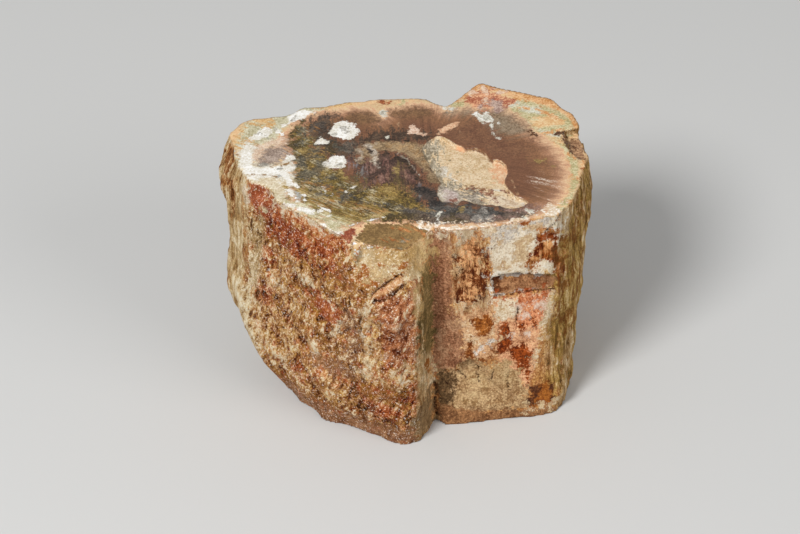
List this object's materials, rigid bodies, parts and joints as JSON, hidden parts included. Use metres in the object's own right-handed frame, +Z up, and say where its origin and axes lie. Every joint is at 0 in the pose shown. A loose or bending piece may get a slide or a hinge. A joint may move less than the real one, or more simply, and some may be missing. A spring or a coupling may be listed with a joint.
{
  "type": "petrified wood",
  "caption": "Block of petrified wood, sawn and polished on top, with pitted, split and bark-grained broken sides; stands on its flat base.",
  "frame": {"origin": "middle of the block's outline in plan, on the level face that it rests on", "axes": "+Z up from the rest face to the polished face; +X along the block's longest side, to the right as the picture sees it; +Y to the back, away from the front block with its deep channel"},
  "size_m": [0.0728, 0.0562, 0.047],
  "materials": {
    "stone": "silicified wood: rough and matte on the broken and weathered sides, polished on the sawn top"
  },
  "bodies": {
    "root": {"petrified_wood": "stone"}
  },
  "joints": []
}
